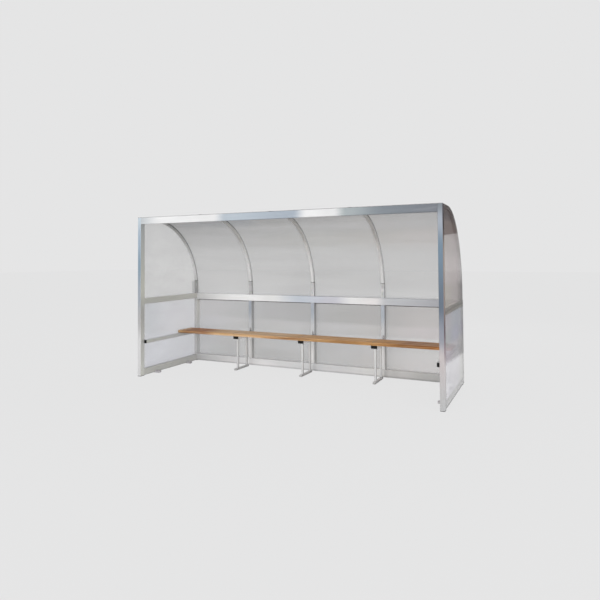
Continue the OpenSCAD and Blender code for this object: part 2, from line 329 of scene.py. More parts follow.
# The rear rails' tones are painted reflections. Their lowest edges are darkened by painted shade.
dress(aluminium(
    "rear_mid_rail_aluminium", LENGTH, -2.0, 2.0,
    [(0.0, 0.72), (0.22, 0.92), (0.34, 0.78), (0.45, (0.50, 0.54, 0.60)), (0.58, (0.50, 0.50, 0.55)),
     (0.65, 0.70), (0.72, (0.70, 0.68, 0.68)), (0.77, (0.46, 0.47, 0.49)), (1.0, (0.37, 0.37, 0.40))],
    edge_shade=(0.950, 0.75)),
    "mid_rail_rear")
dress(aluminium(
    "rear_foot_rail_aluminium", LENGTH, -2.0, 2.0,
    [(0.0, 0.66), (0.08, 0.76), (0.27, (0.92, 0.92, 0.93)), (0.48, (0.78, 0.79, 0.80)),
     (0.60, (0.74, 0.74, 0.75)), (0.72, (0.82, 0.82, 0.81)), (0.80, (0.66, 0.65, 0.64)),
     (0.88, (0.56, 0.56, 0.55)), (1.0, 0.48)],
    edge_shade=(0.028, 0.26)),
    "bottom_rail_rear")
# Painted light: the faces of the end rails turned to the ends are lighter. The foot rails' lowest edges are
# darkened by painted shade.
dress(aluminium(
    "end_rail_aluminium", DEPTH, -0.61, 0.69,
    [(0.0, (0.50, 0.50, 0.48)), (1.0, (0.50, 0.50, 0.48))],
    [(0.0, (0.54, 0.54, 0.50)), (1.0, (0.60, 0.60, 0.56))]),
    "mid_rail_left", "mid_rail_right")
dress(aluminium(
    "end_foot_rail_aluminium", DEPTH, -0.61, 0.69,
    [(0.0, (0.50, 0.50, 0.48)), (1.0, (0.50, 0.50, 0.48))],
    [(0.0, (0.64, 0.64, 0.60)), (1.0, (0.66, 0.66, 0.64))],
    edge_shade=(0.017, 0.45)),
    "bottom_rail_left", "bottom_rail_right")
# Painted light: the middle uprights are lighter near the ground, where the seat shades them. Their end faces
# have their own painted shading.
dress(aluminium(
    "rear_upright_aluminium", HEIGHT, 0.0, 1.04,
    [(0.0, 0.92), (0.45, 0.90), (0.55, (0.60, 0.62, 0.64)), (0.80, (0.36, 0.40, 0.45)),
     (1.0, (0.38, 0.40, 0.45))],
    [(0.0, (0.62, 0.62, 0.61)), (1.0, (0.48, 0.49, 0.50))]),
    "rear_posts_middle")
# Painted light: the corner posts' faces turned to the ends are lighter.
dress(aluminium(
    "rear_corner_aluminium", HEIGHT, 0.0, 1.04,
    [(0.0, (0.74, 0.74, 0.73)), (1.0, (0.66, 0.66, 0.64))],
    [(0.0, 0.70), (1.0, (0.80, 0.80, 0.76))]),
    "rear_post_left", "rear_post_right")


# ---- Roof ribs and sockets ----
# Bent square tubes from the beam back and down to the half height rail. Each
# stands in a short thicker sleeve that is welded to the rail and bolted.

# The outer radius of the bend, and its axis, which runs along the shelter.
ROOF_RADIUS = 1.020
roof_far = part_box("roof_sheet_1")[1]
BEND_Y, BEND_Z = roof_far.y - ROOF_RADIUS, roof_far.z - ROOF_RADIUS


def bent_tube(name, cheek_tones, seam=0.0):
    """Cheeks are the sides of the tube, with their own tones of painted shading; seam is how dark the joint
    to the roof sheet shows along them.
    """
    f = Finish(name)
    drawn = f.noise((600.0, 26.0, 26.0), 3.0, 0.6)
    cloud = f.noise((9.0, 3.0, 3.0), 3.0, 0.5, (1.0, 4.0, 2.0))
    run = f.along[HEIGHT] / 2.2 + 0.03 * (cloud - 0.5)
    # The tube darkens towards the top, where it turns to face down: painted shade.
    skin = f.ramp(run, [
        (0.0, 0.66), (0.56, 0.70), (0.64, 0.80), (0.73, 0.78), (0.79, (0.72, 0.72, 0.71)),
        (0.835, (0.55, 0.55, 0.54)), (0.93, (0.57, 0.56, 0.55)), (1.0, (0.52, 0.51, 0.50))])
    skin = f.mix(0.3 * (cloud - 0.40).within(), skin, (0.40, 0.41, 0.41))
    behind = (f.along[DEPTH] - BEND_Y).most(0.0) ** 2.0
    above = (f.along[HEIGHT] - BEND_Z).most(0.0) ** 2.0
    from_axis = (behind + above) ** 0.5
    # The cheeks' tones are painted shading of the sides of the tube.
    cheek = f.mix(f.band(from_axis, 0.994, 1.004) * seam, f.ramp(run, cheek_tones), 0.12)
    skin = f.mix(f.end_faces(), skin, cheek)
    f.fill(f.shader, {
        "Base Color": skin, "Metallic": 0.35, "Roughness": 0.34 + 0.18 * drawn,
        "Normal": f.bump(drawn, 0.2, 0.0004)})
    return f.material


dress(bent_tube("bent_rib_aluminium", [
    (0.0, (0.62, 0.62, 0.61)), (0.56, 0.70), (0.66, 0.82), (0.79, (0.78, 0.78, 0.77)),
    (0.845, (0.70, 0.70, 0.69)), (0.93, (0.54, 0.53, 0.52)), (1.0, (0.46, 0.45, 0.44))]),
    "rib_1", "rib_2", "rib_3", "rib_right")
dress(bent_tube("end_rib_aluminium", [
    (0.0, 0.70), (0.60, 0.74), (0.72, 0.70), (0.80, 0.62), (0.87, 0.50), (0.93, 0.44), (1.0, 0.46)], 0.85),
    "rib_left")


def cast_grey(name, light, dark, metal=0.5, rough=0.42):
    """Dull galvanised or as-sawn metal with small cloudy spangle."""
    f = Finish(name)
    spangle = f.node("ShaderNodeTexVoronoi", None, {"Vector": f.at, "Scale": 90.0})["Color"]
    fine = f.noise(240.0, 3.0, 0.6)
    tone = f.noise(22.0, 3.0, 0.5) * 0.7 + fine * 0.3
    skin = f.mix(f.band(tone, 0.32, 0.66), dark, light)
    skin = f.mix(0.12, skin, spangle, "SOFT_LIGHT")
    f.fill(f.shader, {
        "Base Color": skin, "Metallic": metal, "Roughness": rough + 0.22 * (fine - 0.5),
        "Normal": f.bump(fine, 0.3, 0.0005)})
    return f.material


dress(cast_grey("socket_aluminium", 0.52, 0.38), "rib_sockets")


# ---- Welds ----
# Every tube end is welded to the next tube with a small rippled bead, ground
# off where a sheet lies on it, so the beads show inside and at the legs.

def rows_tree(name, bits, random_turn):
    """Lays small solids along the edges of a mesh, standing out along its outward attribute."""
    group = bpy.data.node_groups.new(name, "GeometryNodeTree")
    face = group.interface
    face.new_socket("Rows", in_out="INPUT", socket_type="NodeSocketGeometry")
    for label in ("Spacing", "Radius", "Height"):
        face.new_socket(label, in_out="INPUT", socket_type="NodeSocketFloat")
    face.new_socket("Metal", in_out="INPUT", socket_type="NodeSocketMaterial")
    face.new_socket("Solids", in_out="OUTPUT", socket_type="NodeSocketGeometry")
    t = Tree(group)
    given = t.node("NodeGroupInput")
    path = t.node("GeometryNodeMeshToCurve", None, {"Mesh": given["Rows"]})[0]
    spots = t.node("GeometryNodeResampleCurve", {"mode": "LENGTH"}, {
        "Curve": path, "Length": given["Spacing"]})[0]
    outward = t.node("GeometryNodeInputNamedAttribute", {"data_type": "FLOAT_VECTOR"}, {"Name": "outward"})[0]
    stand = t.node("FunctionNodeAlignRotationToVector", {"axis": "Z"}, {"Vector": outward})[0]
    if random_turn:
        twist = t.node("FunctionNodeRandomValue", {"data_type": "FLOAT"}, {
            2: 0.0, 3: 2 * math.pi, "Seed": 11})[1]
        about = t.node("ShaderNodeCombineXYZ", None, {"Z": twist})[0]
        spin = t.node("FunctionNodeEulerToRotation", None, {0: about})[0]
        stand = t.node("FunctionNodeRotateRotation", {"rotation_space": "LOCAL"}, {0: stand, 1: spin})[0]
    solid = t.node("GeometryNodeJoinGeometry", None, {0: bits(t, given["Radius"], given["Height"])})[0]
    placed = t.node("GeometryNodeInstanceOnPoints", None, {
        "Points": spots, "Instance": solid, "Rotation": stand})[0]
    real = t.node("GeometryNodeRealizeInstances", None, {0: placed})[0]
    coated = t.node("GeometryNodeSetMaterial", None, {"Geometry": real, "Material": given["Metal"]})[0]
    t.node("NodeGroupOutput", None, {0: coated})
    return group


def weld_ripple(t, radius, height, segments=8, rings=5):
    ball = t.node("GeometryNodeMeshUVSphere", None, {"Segments": segments, "Rings": rings, "Radius": 1.0})[0]
    size = t.node("ShaderNodeCombineXYZ", None, {"X": radius, "Y": radius, "Z": height})[0]
    return [t.node("GeometryNodeTransform", None, {"Geometry": ball, "Scale": size})[0]]


def fitted(piece):
    """Edges over 38 degrees stay sharp; the piece belongs to the shelter, which is one body."""
    piece.data.shade_smooth()
    piece.data.set_sharp_from_angle(angle=math.radians(38))
    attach(piece, "root")
    return piece


def in_rows(name, tree, rows, spacing, radius, height, metal, slot):
    """Rows are (points, outward), with one outward direction for a row or one for each point."""
    spots, joins, outward = [], [], []
    for points, way in rows:
        first = len(spots)
        spots += points
        joins += [(first + i, first + i + 1) for i in range(len(points) - 1)]
        outward += way if isinstance(way, list) else [way] * len(points)
    layout = bpy.data.meshes.new(name + "_rows")
    layout.from_pydata(spots, joins, [])
    told = layout.attributes.new("outward", "FLOAT_VECTOR", "POINT")
    for one, way in zip(told.data, outward):
        one.vector = way
    piece = bpy.data.objects.new(name, layout)
    bpy.context.collection.objects.link(piece)
    laid = piece.modifiers.new("rows", "NODES")
    laid.node_group = tree
    given = {"Spacing": spacing, "Radius": radius, "Height": height, "Metal": metal}
    for item in tree.interface.items_tree:
        if item.in_out == "INPUT" and item.name in given:
            laid[item.identifier] = given[item.name]
    evaluated = bpy.context.evaluated_depsgraph_get()
    solid = bpy.data.meshes.new_from_object(piece.evaluated_get(evaluated))
    piece.modifiers.clear()
    piece.data = solid
    return fitted(piece)


def straight(x0, y0, z0, x1, y1, z1, out):
    """A row from one place to another, with the way out of it."""
    return [(x0, y0, z0), (x1, y1, z1)], Vector(out).normalized()


weld_tree = rows_tree("weld_beads", weld_ripple, False)
weld_metal = cast_grey("weld_aluminium", (0.60, 0.60, 0.61), (0.40, 0.41, 0.42), 0.5, 0.38)

# Where the middle ribs, uprights and stands are, and the faces at which tubes meet.
rib_boxes = [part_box(rib) for rib in ("rib_1", "rib_2", "rib_3")]
MIDDLES = [(low.x + high.x) / 2 for low, high in rib_boxes]
post_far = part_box("front_post_left")[1]
POST_IN, POST_BACK = -post_far.x, post_far.y
beam_low, beam_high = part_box("header_beam")
BEAM_UNDER, BEAM_BACK = beam_low.z, beam_high.y
rail_low, rail_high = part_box("mid_rail_rear")
REAR_FACE, RAIL_UNDER, RAIL_TOP = rail_low.y, rail_low.z, rail_high.z
FOOT_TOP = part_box("bottom_rail_rear")[1].z
LEG_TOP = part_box("bench_stand_2")[1].z
BAR_TOP = 0.025
SOCKET_FRONT = 0.6145
HALF_UPRIGHT, HALF_SOCKET, HALF_LEG = 0.025, 0.0225, 0.0125

beads = []
for side in (-1, 1):
    inner, near, far = side * POST_IN, side * 1.953, side * 1.990
    beads += [
        straight(inner, -0.687, BEAM_UNDER, inner, -0.643, BEAM_UNDER, (-side, 0, -1)),
        straight(inner, BEAM_BACK, 2.042, inner, BEAM_BACK, 2.122, (-side, 1, 0)),
        straight(near, POST_BACK, 0.010, near, POST_BACK, 0.088, (-side, 1, 0)),
        straight(near, POST_BACK, 0.966, near, POST_BACK, 1.034, (-side, 1, 0)),
        straight(near, REAR_FACE, 0.094, near, REAR_FACE, 0.100, (-side, -1, 0)),
        straight(near, REAR_FACE, 0.108, far, REAR_FACE, FOOT_TOP, (0, -1, 1)),
        straight(near, REAR_FACE, RAIL_UNDER, far, REAR_FACE, RAIL_UNDER, (0, -1, -1)),
        straight(inner, 0.609, 0.478, inner, 0.676, 0.478, (-side, 0, 1)),
        straight(inner, 0.609, 0.433, inner, 0.676, 0.433, (-side, 0, -1)),
    ]
for x in MIDDLES:
    beads += [
        straight(x - 0.022, REAR_FACE, FOOT_TOP, x + 0.022, REAR_FACE, FOOT_TOP, (0, -1, 1)),
        straight(x - 0.022, REAR_FACE, RAIL_UNDER, x + 0.022, REAR_FACE, RAIL_UNDER, (0, -1, -1)),
    ]
    left, right = x - HALF_UPRIGHT, x + HALF_UPRIGHT
    beads += [
        straight(right, 0.609, FOOT_TOP, right, 0.680, FOOT_TOP, (1, 0, 1)),
        straight(left, 0.609, FOOT_TOP, left, 0.680, FOOT_TOP, (-1, 0, 1)),
        straight(right, 0.609, RAIL_UNDER, right, 0.680, RAIL_UNDER, (1, 0, -1)),
        straight(left, 0.609, RAIL_UNDER, left, 0.680, RAIL_UNDER, (-1, 0, -1)),
        straight(x - 0.021, SOCKET_FRONT, RAIL_TOP, x + 0.021, SOCKET_FRONT, RAIL_TOP, (0, -1, 1)),
        straight(x + HALF_SOCKET, 0.618, RAIL_TOP, x + HALF_SOCKET, 0.655, RAIL_TOP, (1, 0, 1)),
        straight(x - HALF_SOCKET, 0.618, RAIL_TOP, x - HALF_SOCKET, 0.655, RAIL_TOP, (-1, 0, 1)),
        straight(right, REAR_FACE, 0.441, right, REAR_FACE, 0.483, (1, -1, 0)),
        straight(left, REAR_FACE, 0.441, left, REAR_FACE, 0.483, (-1, -1, 0)),
    ]
    left, right = x - HALF_LEG, x + HALF_LEG
    for y in (0.254, 0.502):
        front, back = y - HALF_LEG, y + HALF_LEG
        beads += [
            straight(left, front, BAR_TOP, right, front, BAR_TOP, (0, -1, 1)),
            straight(left, back, BAR_TOP, right, back, BAR_TOP, (0, 1, 1)),
            straight(right, front, LEG_TOP, right, back, LEG_TOP, (1, 0, -1)),
            straight(left, front, LEG_TOP, left, back, LEG_TOP, (-1, 0, -1)),
        ]
in_rows("weld_beads", weld_tree, beads, spacing=0.0034, radius=0.0030, height=0.0022,
        metal=weld_metal, slot="alu")


# ---- Clear sheets ----
# Clear 5 mm plastic sheet: four bent lengths for the roof, four flat ones at the back and two at each end.
# It is slightly milky, more so looked at along than square, with a fine grain and rain dust near the
# ground; the cut edges show darker. Its tones in bands up each sheet and its soft dull and bright drifts
# are painted reflections and painted shade.

def clear_sheet(name, haze, along_haze, fall, axis, low, high, levels, edge_axes, dull=None, socket_reflection=None):
    """Haze is how much is hidden looking square at a sheet, along_haze looking along it, and fall how late
    the one turns into the other. Levels go up the sheet: each starts between two heights at Y 0, rises
    towards the back by the third number, and has its tones from low to high; these tones are painted
    reflections and painted shade. Edge_axes are the directions that cut edges face. Dull is a level from
    which the sheet doesn't shine. The last argument is a painted dark reflection of a socket beside the
    sheet: from where to where in depth and in height, and how dark."""
    f = Finish(name)
    slow = f.noise((0.7, 0.7, 0.9), 2.0, 0.5, (2.0, 5.0, 1.0), 0.6)
    streak = f.noise((0.55, 3.0, 7.0), 3.0, 0.5, (6.0, 1.0, 3.0))
    fine = f.noise(160.0, 3.0, 0.6)
    run = (f.along[axis] - low) / (high - low) + 0.05 * (slow - 0.5)
    ripple = f.along[HEIGHT] + 0.02 * (streak - 0.5)

    def above(start, full, rise):
        return f.band(ripple - rise * f.along[DEPTH], start, full)

    # The levels' tones are painted reflections and painted shade.
    mist_and_painted_light = f.ramp(run, levels[0][1])
    for level, tones in levels[1:]:
        mist_and_painted_light = f.mix(above(*level), mist_and_painted_light, f.ramp(run, tones))
    # Soft dark drifts are painted shade.
    mist_and_painted_light = f.mix((0.35 * (slow - 0.4) + 0.35 * (streak - 0.4)).within(), mist_and_painted_light, (0.14, 0.14, 0.145))
    # A patch of painted dark reflection of a socket beside the sheet.
    patchy = 0.0
    if socket_reflection:
        (near, far), (foot, head), depth = socket_reflection
        patchy = f.band(f.along[DEPTH], near, near + 0.035) * (1.0 - f.band(f.along[DEPTH], far, far + 0.02))
        patchy = patchy * f.band(f.along[HEIGHT], foot, foot + 0.02)
        patchy = patchy * (1.0 - f.band(f.along[HEIGHT], head - 0.02, head + 0.01))
        mist_and_painted_light = f.mix(patchy * depth, mist_and_painted_light, 0.08)
    rim = 0.0
    for edge in edge_axes:
        rim = f.band(f.facing[edge].size(), 0.90, 0.95) + rim
    mist_and_painted_light = f.mix(rim.within() * 0.8, mist_and_painted_light, 0.20)
    look = f.node("ShaderNodeLayerWeight", None, {"Blend": 0.5})["Facing"]
    dust = (1.0 - f.band(f.along[HEIGHT], 0.0, 0.22)) * 0.08
    hidden = haze + (look ** fall) * (along_haze - haze) + (slow + streak - 1.0) * 0.08
    hidden = (hidden + dust + 0.03 * (fine - 0.5) + 0.1 * patchy).within()
    one_skin = 1.0 - (1.0 - hidden * 0.985) ** 0.5
    gloss = 0.75 + 0.25 * slow
    if dull:
        gloss = 1.0 - above(*dull)
    f.fill(f.shader, {
        "Base Color": mist_and_painted_light, "Alpha": one_skin + (1.0 - one_skin) * rim.within() * 0.5,
        "Roughness": 0.55 + 0.10 * fine, "Coat Weight": gloss * 0.8, "Coat Roughness": 0.12, "Coat IOR": 1.49,
        "Specular IOR Level": 0.0, "Normal": f.bump(slow, 0.35, 0.02)})
    return f.material


# The roof's tones are painted shade, darkest just below the beam.
roof_clear = clear_sheet("clear_roof_sheet", 0.50, 0.90, 2.2, LENGTH, -2.0, 2.0, [
    (None, [(0.0, 0.47), (0.25, 0.45), (0.5, 0.39), (0.75, 0.39), (0.9, 0.46)]),
    ((1.28, 1.42, 0), [(0.0, 0.42), (0.3, 0.38), (0.6, 0.37), (0.9, 0.43)]),
    ((1.62, 1.80, 0), [(0.0, 0.30), (0.25, 0.26), (0.55, (0.27, 0.27, 0.25)), (0.75, (0.29, 0.27, 0.24)),
                       (0.9, (0.39, 0.35, 0.33))]),
    ((1.91, 1.96, 0), [(0.0, 0.24), (0.25, 0.25), (0.55, 0.28), (0.75, (0.33, 0.32, 0.32)), (0.9, 0.40)]),
    ((1.98, 2.05, 0), [(0.0, 0.15), (0.21, (0.11, 0.13, 0.15)), (0.3, (0.10, 0.13, 0.16)),
                       (0.4, (0.18, 0.18, 0.17)), (0.55, 0.23), (0.75, (0.32, 0.31, 0.30)), (0.9, 0.40)]),
    ((2.095, 2.118, 0), [(0.0, 0.50), (0.5, 0.46), (0.9, 0.44)])],
    (LENGTH,))
# The back's tones are painted reflections and painted shade, in bands up the sheet.
back_clear = clear_sheet("clear_back_sheet", 0.55, 0.90, 2.2, LENGTH, -2.0, 2.0, [
    (None, [(0.04, (0.47, 0.47, 0.50)), (0.09, (0.38, 0.40, 0.40)), (0.16, (0.32, 0.32, 0.33)), (0.22, 0.53),
            (0.29, 0.33), (0.45, 0.38), (0.6, 0.46), (0.72, (0.54, 0.51, 0.49)), (0.88, (0.66, 0.63, 0.63))]),
    ((0.22, 0.30, 0), [(0.04, (0.47, 0.47, 0.50)), (0.16, 0.40), (0.22, 0.57), (0.29, 0.44),
                       (0.40, (0.40, 0.42, 0.44)), (0.55, 0.44), (0.62, (0.50, 0.50, 0.51)),
                       (0.72, (0.56, 0.54, 0.54)), (0.88, (0.68, 0.67, 0.66))]),
    ((0.50, 0.55, 0), [(0.04, (0.45, 0.45, 0.49)), (0.22, 0.41), (0.32, 0.36), (0.45, (0.46, 0.46, 0.47)),
                       (0.6, (0.42, 0.42, 0.43)), (0.72, (0.44, 0.42, 0.40)), (0.88, (0.54, 0.48, 0.49))]),
    ((0.64, 0.71, 0), [(0.04, (0.42, 0.41, 0.43)), (0.22, (0.30, 0.31, 0.32)), (0.32, (0.21, 0.21, 0.22)),
                       (0.5, (0.23, 0.23, 0.24)), (0.6, (0.17, 0.17, 0.15)), (0.72, (0.20, 0.18, 0.17)),
                       (0.88, (0.35, 0.31, 0.29))])],
    (LENGTH, HEIGHT))
# The left end's tones are painted reflections. The patch beside the rear socket is a painted dark reflection
# of it.
left_clear = clear_sheet("clear_left_end_sheet", 0.36, 0.94, 2.2, DEPTH, -0.61, 0.69, [
    (None, [(0.1, (0.56, 0.58, 0.70)), (0.8, (0.53, 0.56, 0.67))]),
    ((0.44, 0.56, 0), [(0.1, (0.34, 0.38, 0.47)), (0.5, (0.58, 0.58, 0.67)), (0.8, (0.60, 0.61, 0.69))]),
    ((0.99, 1.01, 0), [(0.1, 0.56), (0.8, 0.62)]),
    ((1.45, 1.75, 0), [(0.1, 0.46), (0.8, 0.50)])],
    (DEPTH,), socket_reflection=((0.53, 0.64), (1.03, 1.232), 0.6))
# The right end's tones are painted reflections: nearly white near the ground, dark brown above the half
# height rail and darkest above 1.83 m, where the sheet is also dull.
right_clear = clear_sheet("clear_right_end_sheet", 0.40, 0.94, 1.2, DEPTH, -0.61, 0.69, [
    (None, [(0.1, 0.38), (0.9, 0.44)]),
    ((0.020, 0.030, 0), [(0.1, 0.90), (0.6, 0.94), (0.9, 0.80)]),
    ((0.068, 0.075, 0), [(0.1, 0.80), (0.6, 0.86), (0.9, 0.66)]),
    ((0.090, 0.098, 0), [(0.1, (0.80, 0.79, 0.83)), (0.6, (0.83, 0.82, 0.86)), (0.9, (0.74, 0.74, 0.73))]),
    ((0.40, 0.46, -0.06), [(0.1, (0.42, 0.36, 0.42)), (0.5, (0.34, 0.32, 0.35)), (0.9, (0.20, 0.19, 0.20))]),
    ((0.58, 0.68, 0), [(0.1, (0.26, 0.28, 0.29)), (0.5, (0.22, 0.23, 0.33)), (0.75, (0.18, 0.19, 0.26)),
                       (0.9, (0.10, 0.09, 0.16))]),
    ((0.76, 0.84, 0), [(0.1, (0.32, 0.30, 0.34)), (0.5, (0.28, 0.31, 0.36)), (0.75, (0.22, 0.24, 0.30)),
                       (0.9, (0.22, 0.22, 0.24))]),
    ((0.960, 0.968, 0), [(0.1, (0.14, 0.10, 0.08)), (0.9, (0.12, 0.11, 0.09))]),
    ((1.035, 1.045, 0), [(0.1, (0.34, 0.30, 0.25)), (0.5, (0.30, 0.25, 0.24)), (0.7, (0.21, 0.17, 0.16)),
                         (0.9, (0.08, 0.06, 0.06))]),
    ((1.24, 1.32, 0), [(0.1, (0.43, 0.37, 0.36)), (0.5, (0.40, 0.34, 0.33)), (0.7, (0.35, 0.29, 0.29)),
                       (0.9, (0.30, 0.27, 0.27))]),
    ((1.46, 1.70, 0), [(0.1, (0.29, 0.25, 0.23)), (0.5, (0.27, 0.22, 0.21)), (0.9, (0.14, 0.11, 0.10))]),
    ((1.76, 1.81, -0.06), [(0.1, (0.17, 0.12, 0.11)), (0.5, (0.20, 0.14, 0.13)), (0.9, (0.14, 0.10, 0.10))]),
    ((1.832, 1.842, 0.06), [(0.1, (0.16, 0.12, 0.11)), (0.9, (0.13, 0.10, 0.09))]),
    ((1.93, 2.00, 0), [(0.1, (0.08, 0.06, 0.06)), (0.9, (0.08, 0.06, 0.06))])],
    (DEPTH,), dull=(1.832, 1.842, 0.06))
dress(roof_clear, "roof_sheet_1", "roof_sheet_2", "roof_sheet_3", "roof_sheet_4")
dress(back_clear, "back_sheet_1", "back_sheet_2", "back_sheet_3", "back_sheet_4")
dress(left_clear, "side_sheet_upper_left", "side_sheet_lower_left")
dress(right_clear, "side_sheet_upper_right", "side_sheet_lower_right")


# ---- Joint strips and seals ----
# A flat aluminium strip covers each joint between two roof sheets and each
# joint at the back, pressed on a black rubber seal. Thinner seals close the
# gaps at the front posts, under the half height rail and round the sockets.

# The sheets' outer faces: the roof's flat and upright parts, the back and the ends.
ROOF_TOP, UPRIGHT_OUT = roof_far.z, roof_far.y
BACK_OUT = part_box("back_sheet_1")[1].y
END_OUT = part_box("side_sheet_lower_right")[1].x


def finished(name, form, material):
    """Makes a piece of an open mesh."""
    bmesh.ops.recalc_face_normals(form, faces=form.faces)
    mesh = bpy.data.meshes.new(name)
    form.to_mesh(mesh)
    form.free()
    mesh.materials.append(material)
    piece = bpy.data.objects.new(name, mesh)
    bpy.context.collection.objects.link(piece)
    return fitted(piece)


def swept(name, outlines, material):
    """A closed bar through outlines, one for each place along it."""
    form = bmesh.new()
    rings = [[form.verts.new(spot) for spot in outline] for outline in outlines]
    for one, two in zip(rings, rings[1:]):
        for i in range(len(one)):
            after = (i + 1) % len(one)
            form.faces.new((one[i], one[after], two[after], two[i]))
    form.faces.new(rings[0])
    form.faces.new(list(reversed(rings[-1])))
    return finished(name, form, material)


def on_bend(x, radius, angle, section):
    """A section's outline on the roof's bend, at degrees from the top; a section is (across, out)."""
    s, c = math.sin(math.radians(angle)), math.cos(math.radians(angle))
    return [(x + across, BEND_Y + (radius + out) * s, BEND_Z + (radius + out) * c) for across, out in section]


def over_roof(x, section):
    """Outlines down the outside of the roof at x, from the beam to the half height rail."""
    flat = [[(x + across, y, ROOF_TOP + out) for across, out in section] for y in (-0.685, -0.52)]
    bend = [on_bend(x, ROOF_RADIUS, angle, section) for angle in range(0, 91, 3)]
    upright = [[(x + across, UPRIGHT_OUT + out, z) for across, out in section] for z in (1.075, 1.042)]
    return flat + bend + upright


def down_back(x, section):
    return [[(x + across, BACK_OUT + out, z) for across, out in section] for z in (1.034, 0.52, 0.016)]


def rubber(name, dark=(0.030, 0.030, 0.032), light=0.060):
    f = Finish(name)
    grain = f.noise(300.0, 3.0, 0.6)
    tone = f.noise(8.0, 3.0, 0.5)
    f.fill(f.shader, {
        "Base Color": f.mix(f.band(tone, 0.3, 0.7), dark, light),
        "Roughness": 0.62 + 0.2 * (grain - 0.5), "Normal": f.bump(grain, 0.3, 0.0006)})
    return f.material


def strip_metal(name):
    f = Finish(name)
    drawn = f.noise((900.0, 5.0, 5.0), 2.0, 0.6)
    cloud = f.noise((4.0, 2.2, 2.2), 3.0, 0.5, (4.0, 2.0, 7.0))
    skin = f.mix(f.band(cloud, 0.3, 0.7), (0.50, 0.51, 0.52), 0.66)
    f.fill(f.shader, {
        "Base Color": skin, "Metallic": 0.5, "Roughness": 0.30 + 0.2 * drawn,
        "Normal": f.bump(drawn, 0.25, 0.0004)})
    return f.material


seal_rubber = rubber("seal_rubber")
strip_skin = strip_metal("joint_strip_aluminium")
STRIP = [(-0.018, 0.0010), (-0.016, 0.0026), (-0.010, 0.0032),
         (0.010, 0.0032), (0.016, 0.0026), (0.018, 0.0010)]
SEAL = [(-0.0172, -0.0004), (-0.0170, 0.0012), (0.0170, 0.0012), (0.0172, -0.0004)]
for number, x in enumerate(MIDDLES, 1):
    swept("roof_joint_seal_%d" % number, over_roof(x, SEAL), seal_rubber)
    swept("roof_joint_strip_%d" % number, over_roof(x, STRIP), strip_skin)
    swept("back_joint_seal_%d" % number, down_back(x, SEAL), seal_rubber)
    swept("back_joint_strip_%d" % number, down_back(x, STRIP), strip_skin)

LIP = [(-0.0008, 0.0), (0.0020, -0.0006), (0.0020, -0.0058), (-0.0008, -0.0064)]
for label, side in (("left", -1), ("right", 1)):
    outlines = []
    for z in (0.014, 0.7, 1.4, 2.094):
        outlines.append([(side * (END_OUT + out), POST_BACK + back, z) for back, out in LIP])
    swept("end_seal_" + label, outlines, seal_rubber)

GASKET = [(-0.028, -0.011), (-0.0055, -0.013), (-0.0055, -0.0005), (-0.025, -0.0005)]
bays = ((-1.949, -1.026), (-0.974, -0.026), (0.026, 0.974), (1.026, 1.949))
for bay, (left, right) in enumerate(bays, 1):
    outlines = []
    for x in (left, (left + right) / 2, right):
        outlines.append([(x, BACK_OUT + back, RAIL_UNDER + up) for back, up in GASKET])
    swept("rail_gasket_%d" % bay, outlines, seal_rubber)

SOCKET_RADIUS = 0.9745
collars = [(-1.99, 0.0, 0.0415)] + [(x, -0.0240, 0.0240) for x in MIDDLES] + [(1.99, -0.0415, 0.0)]
for number, (x, left, right) in enumerate(collars, 1):
    section = [(left, -0.0015), (right, -0.0015), (right, 0.036), (left, 0.036)]
    outlines = [on_bend(x, SOCKET_RADIUS, angle, section) for angle in (83.1, 82.95, 82.8)]
    swept("socket_collar_%d" % number, outlines, seal_rubber)


# ---- Sheet screws ----
# Short zinc-plated screws with a bonded washer hold the sheets to the tubes
# and the strips to the ribs, about a quarter of a metre apart.

def washer_screw(t, radius, height):
    def raised(solid, lift, scale=(1, 1, 1)):
        up = t.node("ShaderNodeCombineXYZ", None, {"Z": lift})[0]
        return t.node("GeometryNodeTransform", None, {
            "Geometry": solid, "Translation": up, "Scale": scale})[0]

    washer = t.node("GeometryNodeMeshCylinder", None, {
        "Vertices": 16, "Radius": radius, "Depth": height * 0.36})[0]
    head = t.node("GeometryNodeMeshCylinder", None, {
        "Vertices": 6, "Radius": radius * 0.62, "Depth": height})[0]
    crown = t.node("GeometryNodeMeshUVSphere", None, {
        "Segments": 8, "Rings": 4, "Radius": radius * 0.5})[0]
    return [raised(washer, height * 0.18), raised(head, height * 0.50), raised(crown, height, (1, 1, 0.22))]


def round_row(x, radius, first, last, steps=24):
    """A row round the roof's bend, from one angle to another in degrees from the top."""
    spots, ways = [], []
    for i in range(steps + 1):
        a = math.radians(first + (last - first) * i / steps)
        spots.append((x, BEND_Y + radius * math.sin(a), BEND_Z + radius * math.cos(a)))
        ways.append(Vector((0, math.sin(a), math.cos(a))))
    return spots, ways


screw_tree = rows_tree("washer_screws", washer_screw, True)
screw_metal = cast_grey("zinc_screw", (0.58, 0.59, 0.60), (0.40, 0.41, 0.43), 0.7, 0.32)
SCREW = {"radius": 0.0070, "height": 0.0042, "metal": screw_metal, "slot": "fittings"}
STRIP_OUT = 0.0032

roof_rows = [straight(-1.96, -0.665, ROOF_TOP, 1.96, -0.665, ROOF_TOP, (0, 0, 1))]
for x in (-1.978, 1.978):
    roof_rows.append(round_row(x, ROOF_RADIUS, 3, 87))
for x in MIDDLES:
    roof_rows.append(round_row(x, ROOF_RADIUS + STRIP_OUT, 5, 86))
in_rows("roof_screws", screw_tree, roof_rows, spacing=0.245, **SCREW)

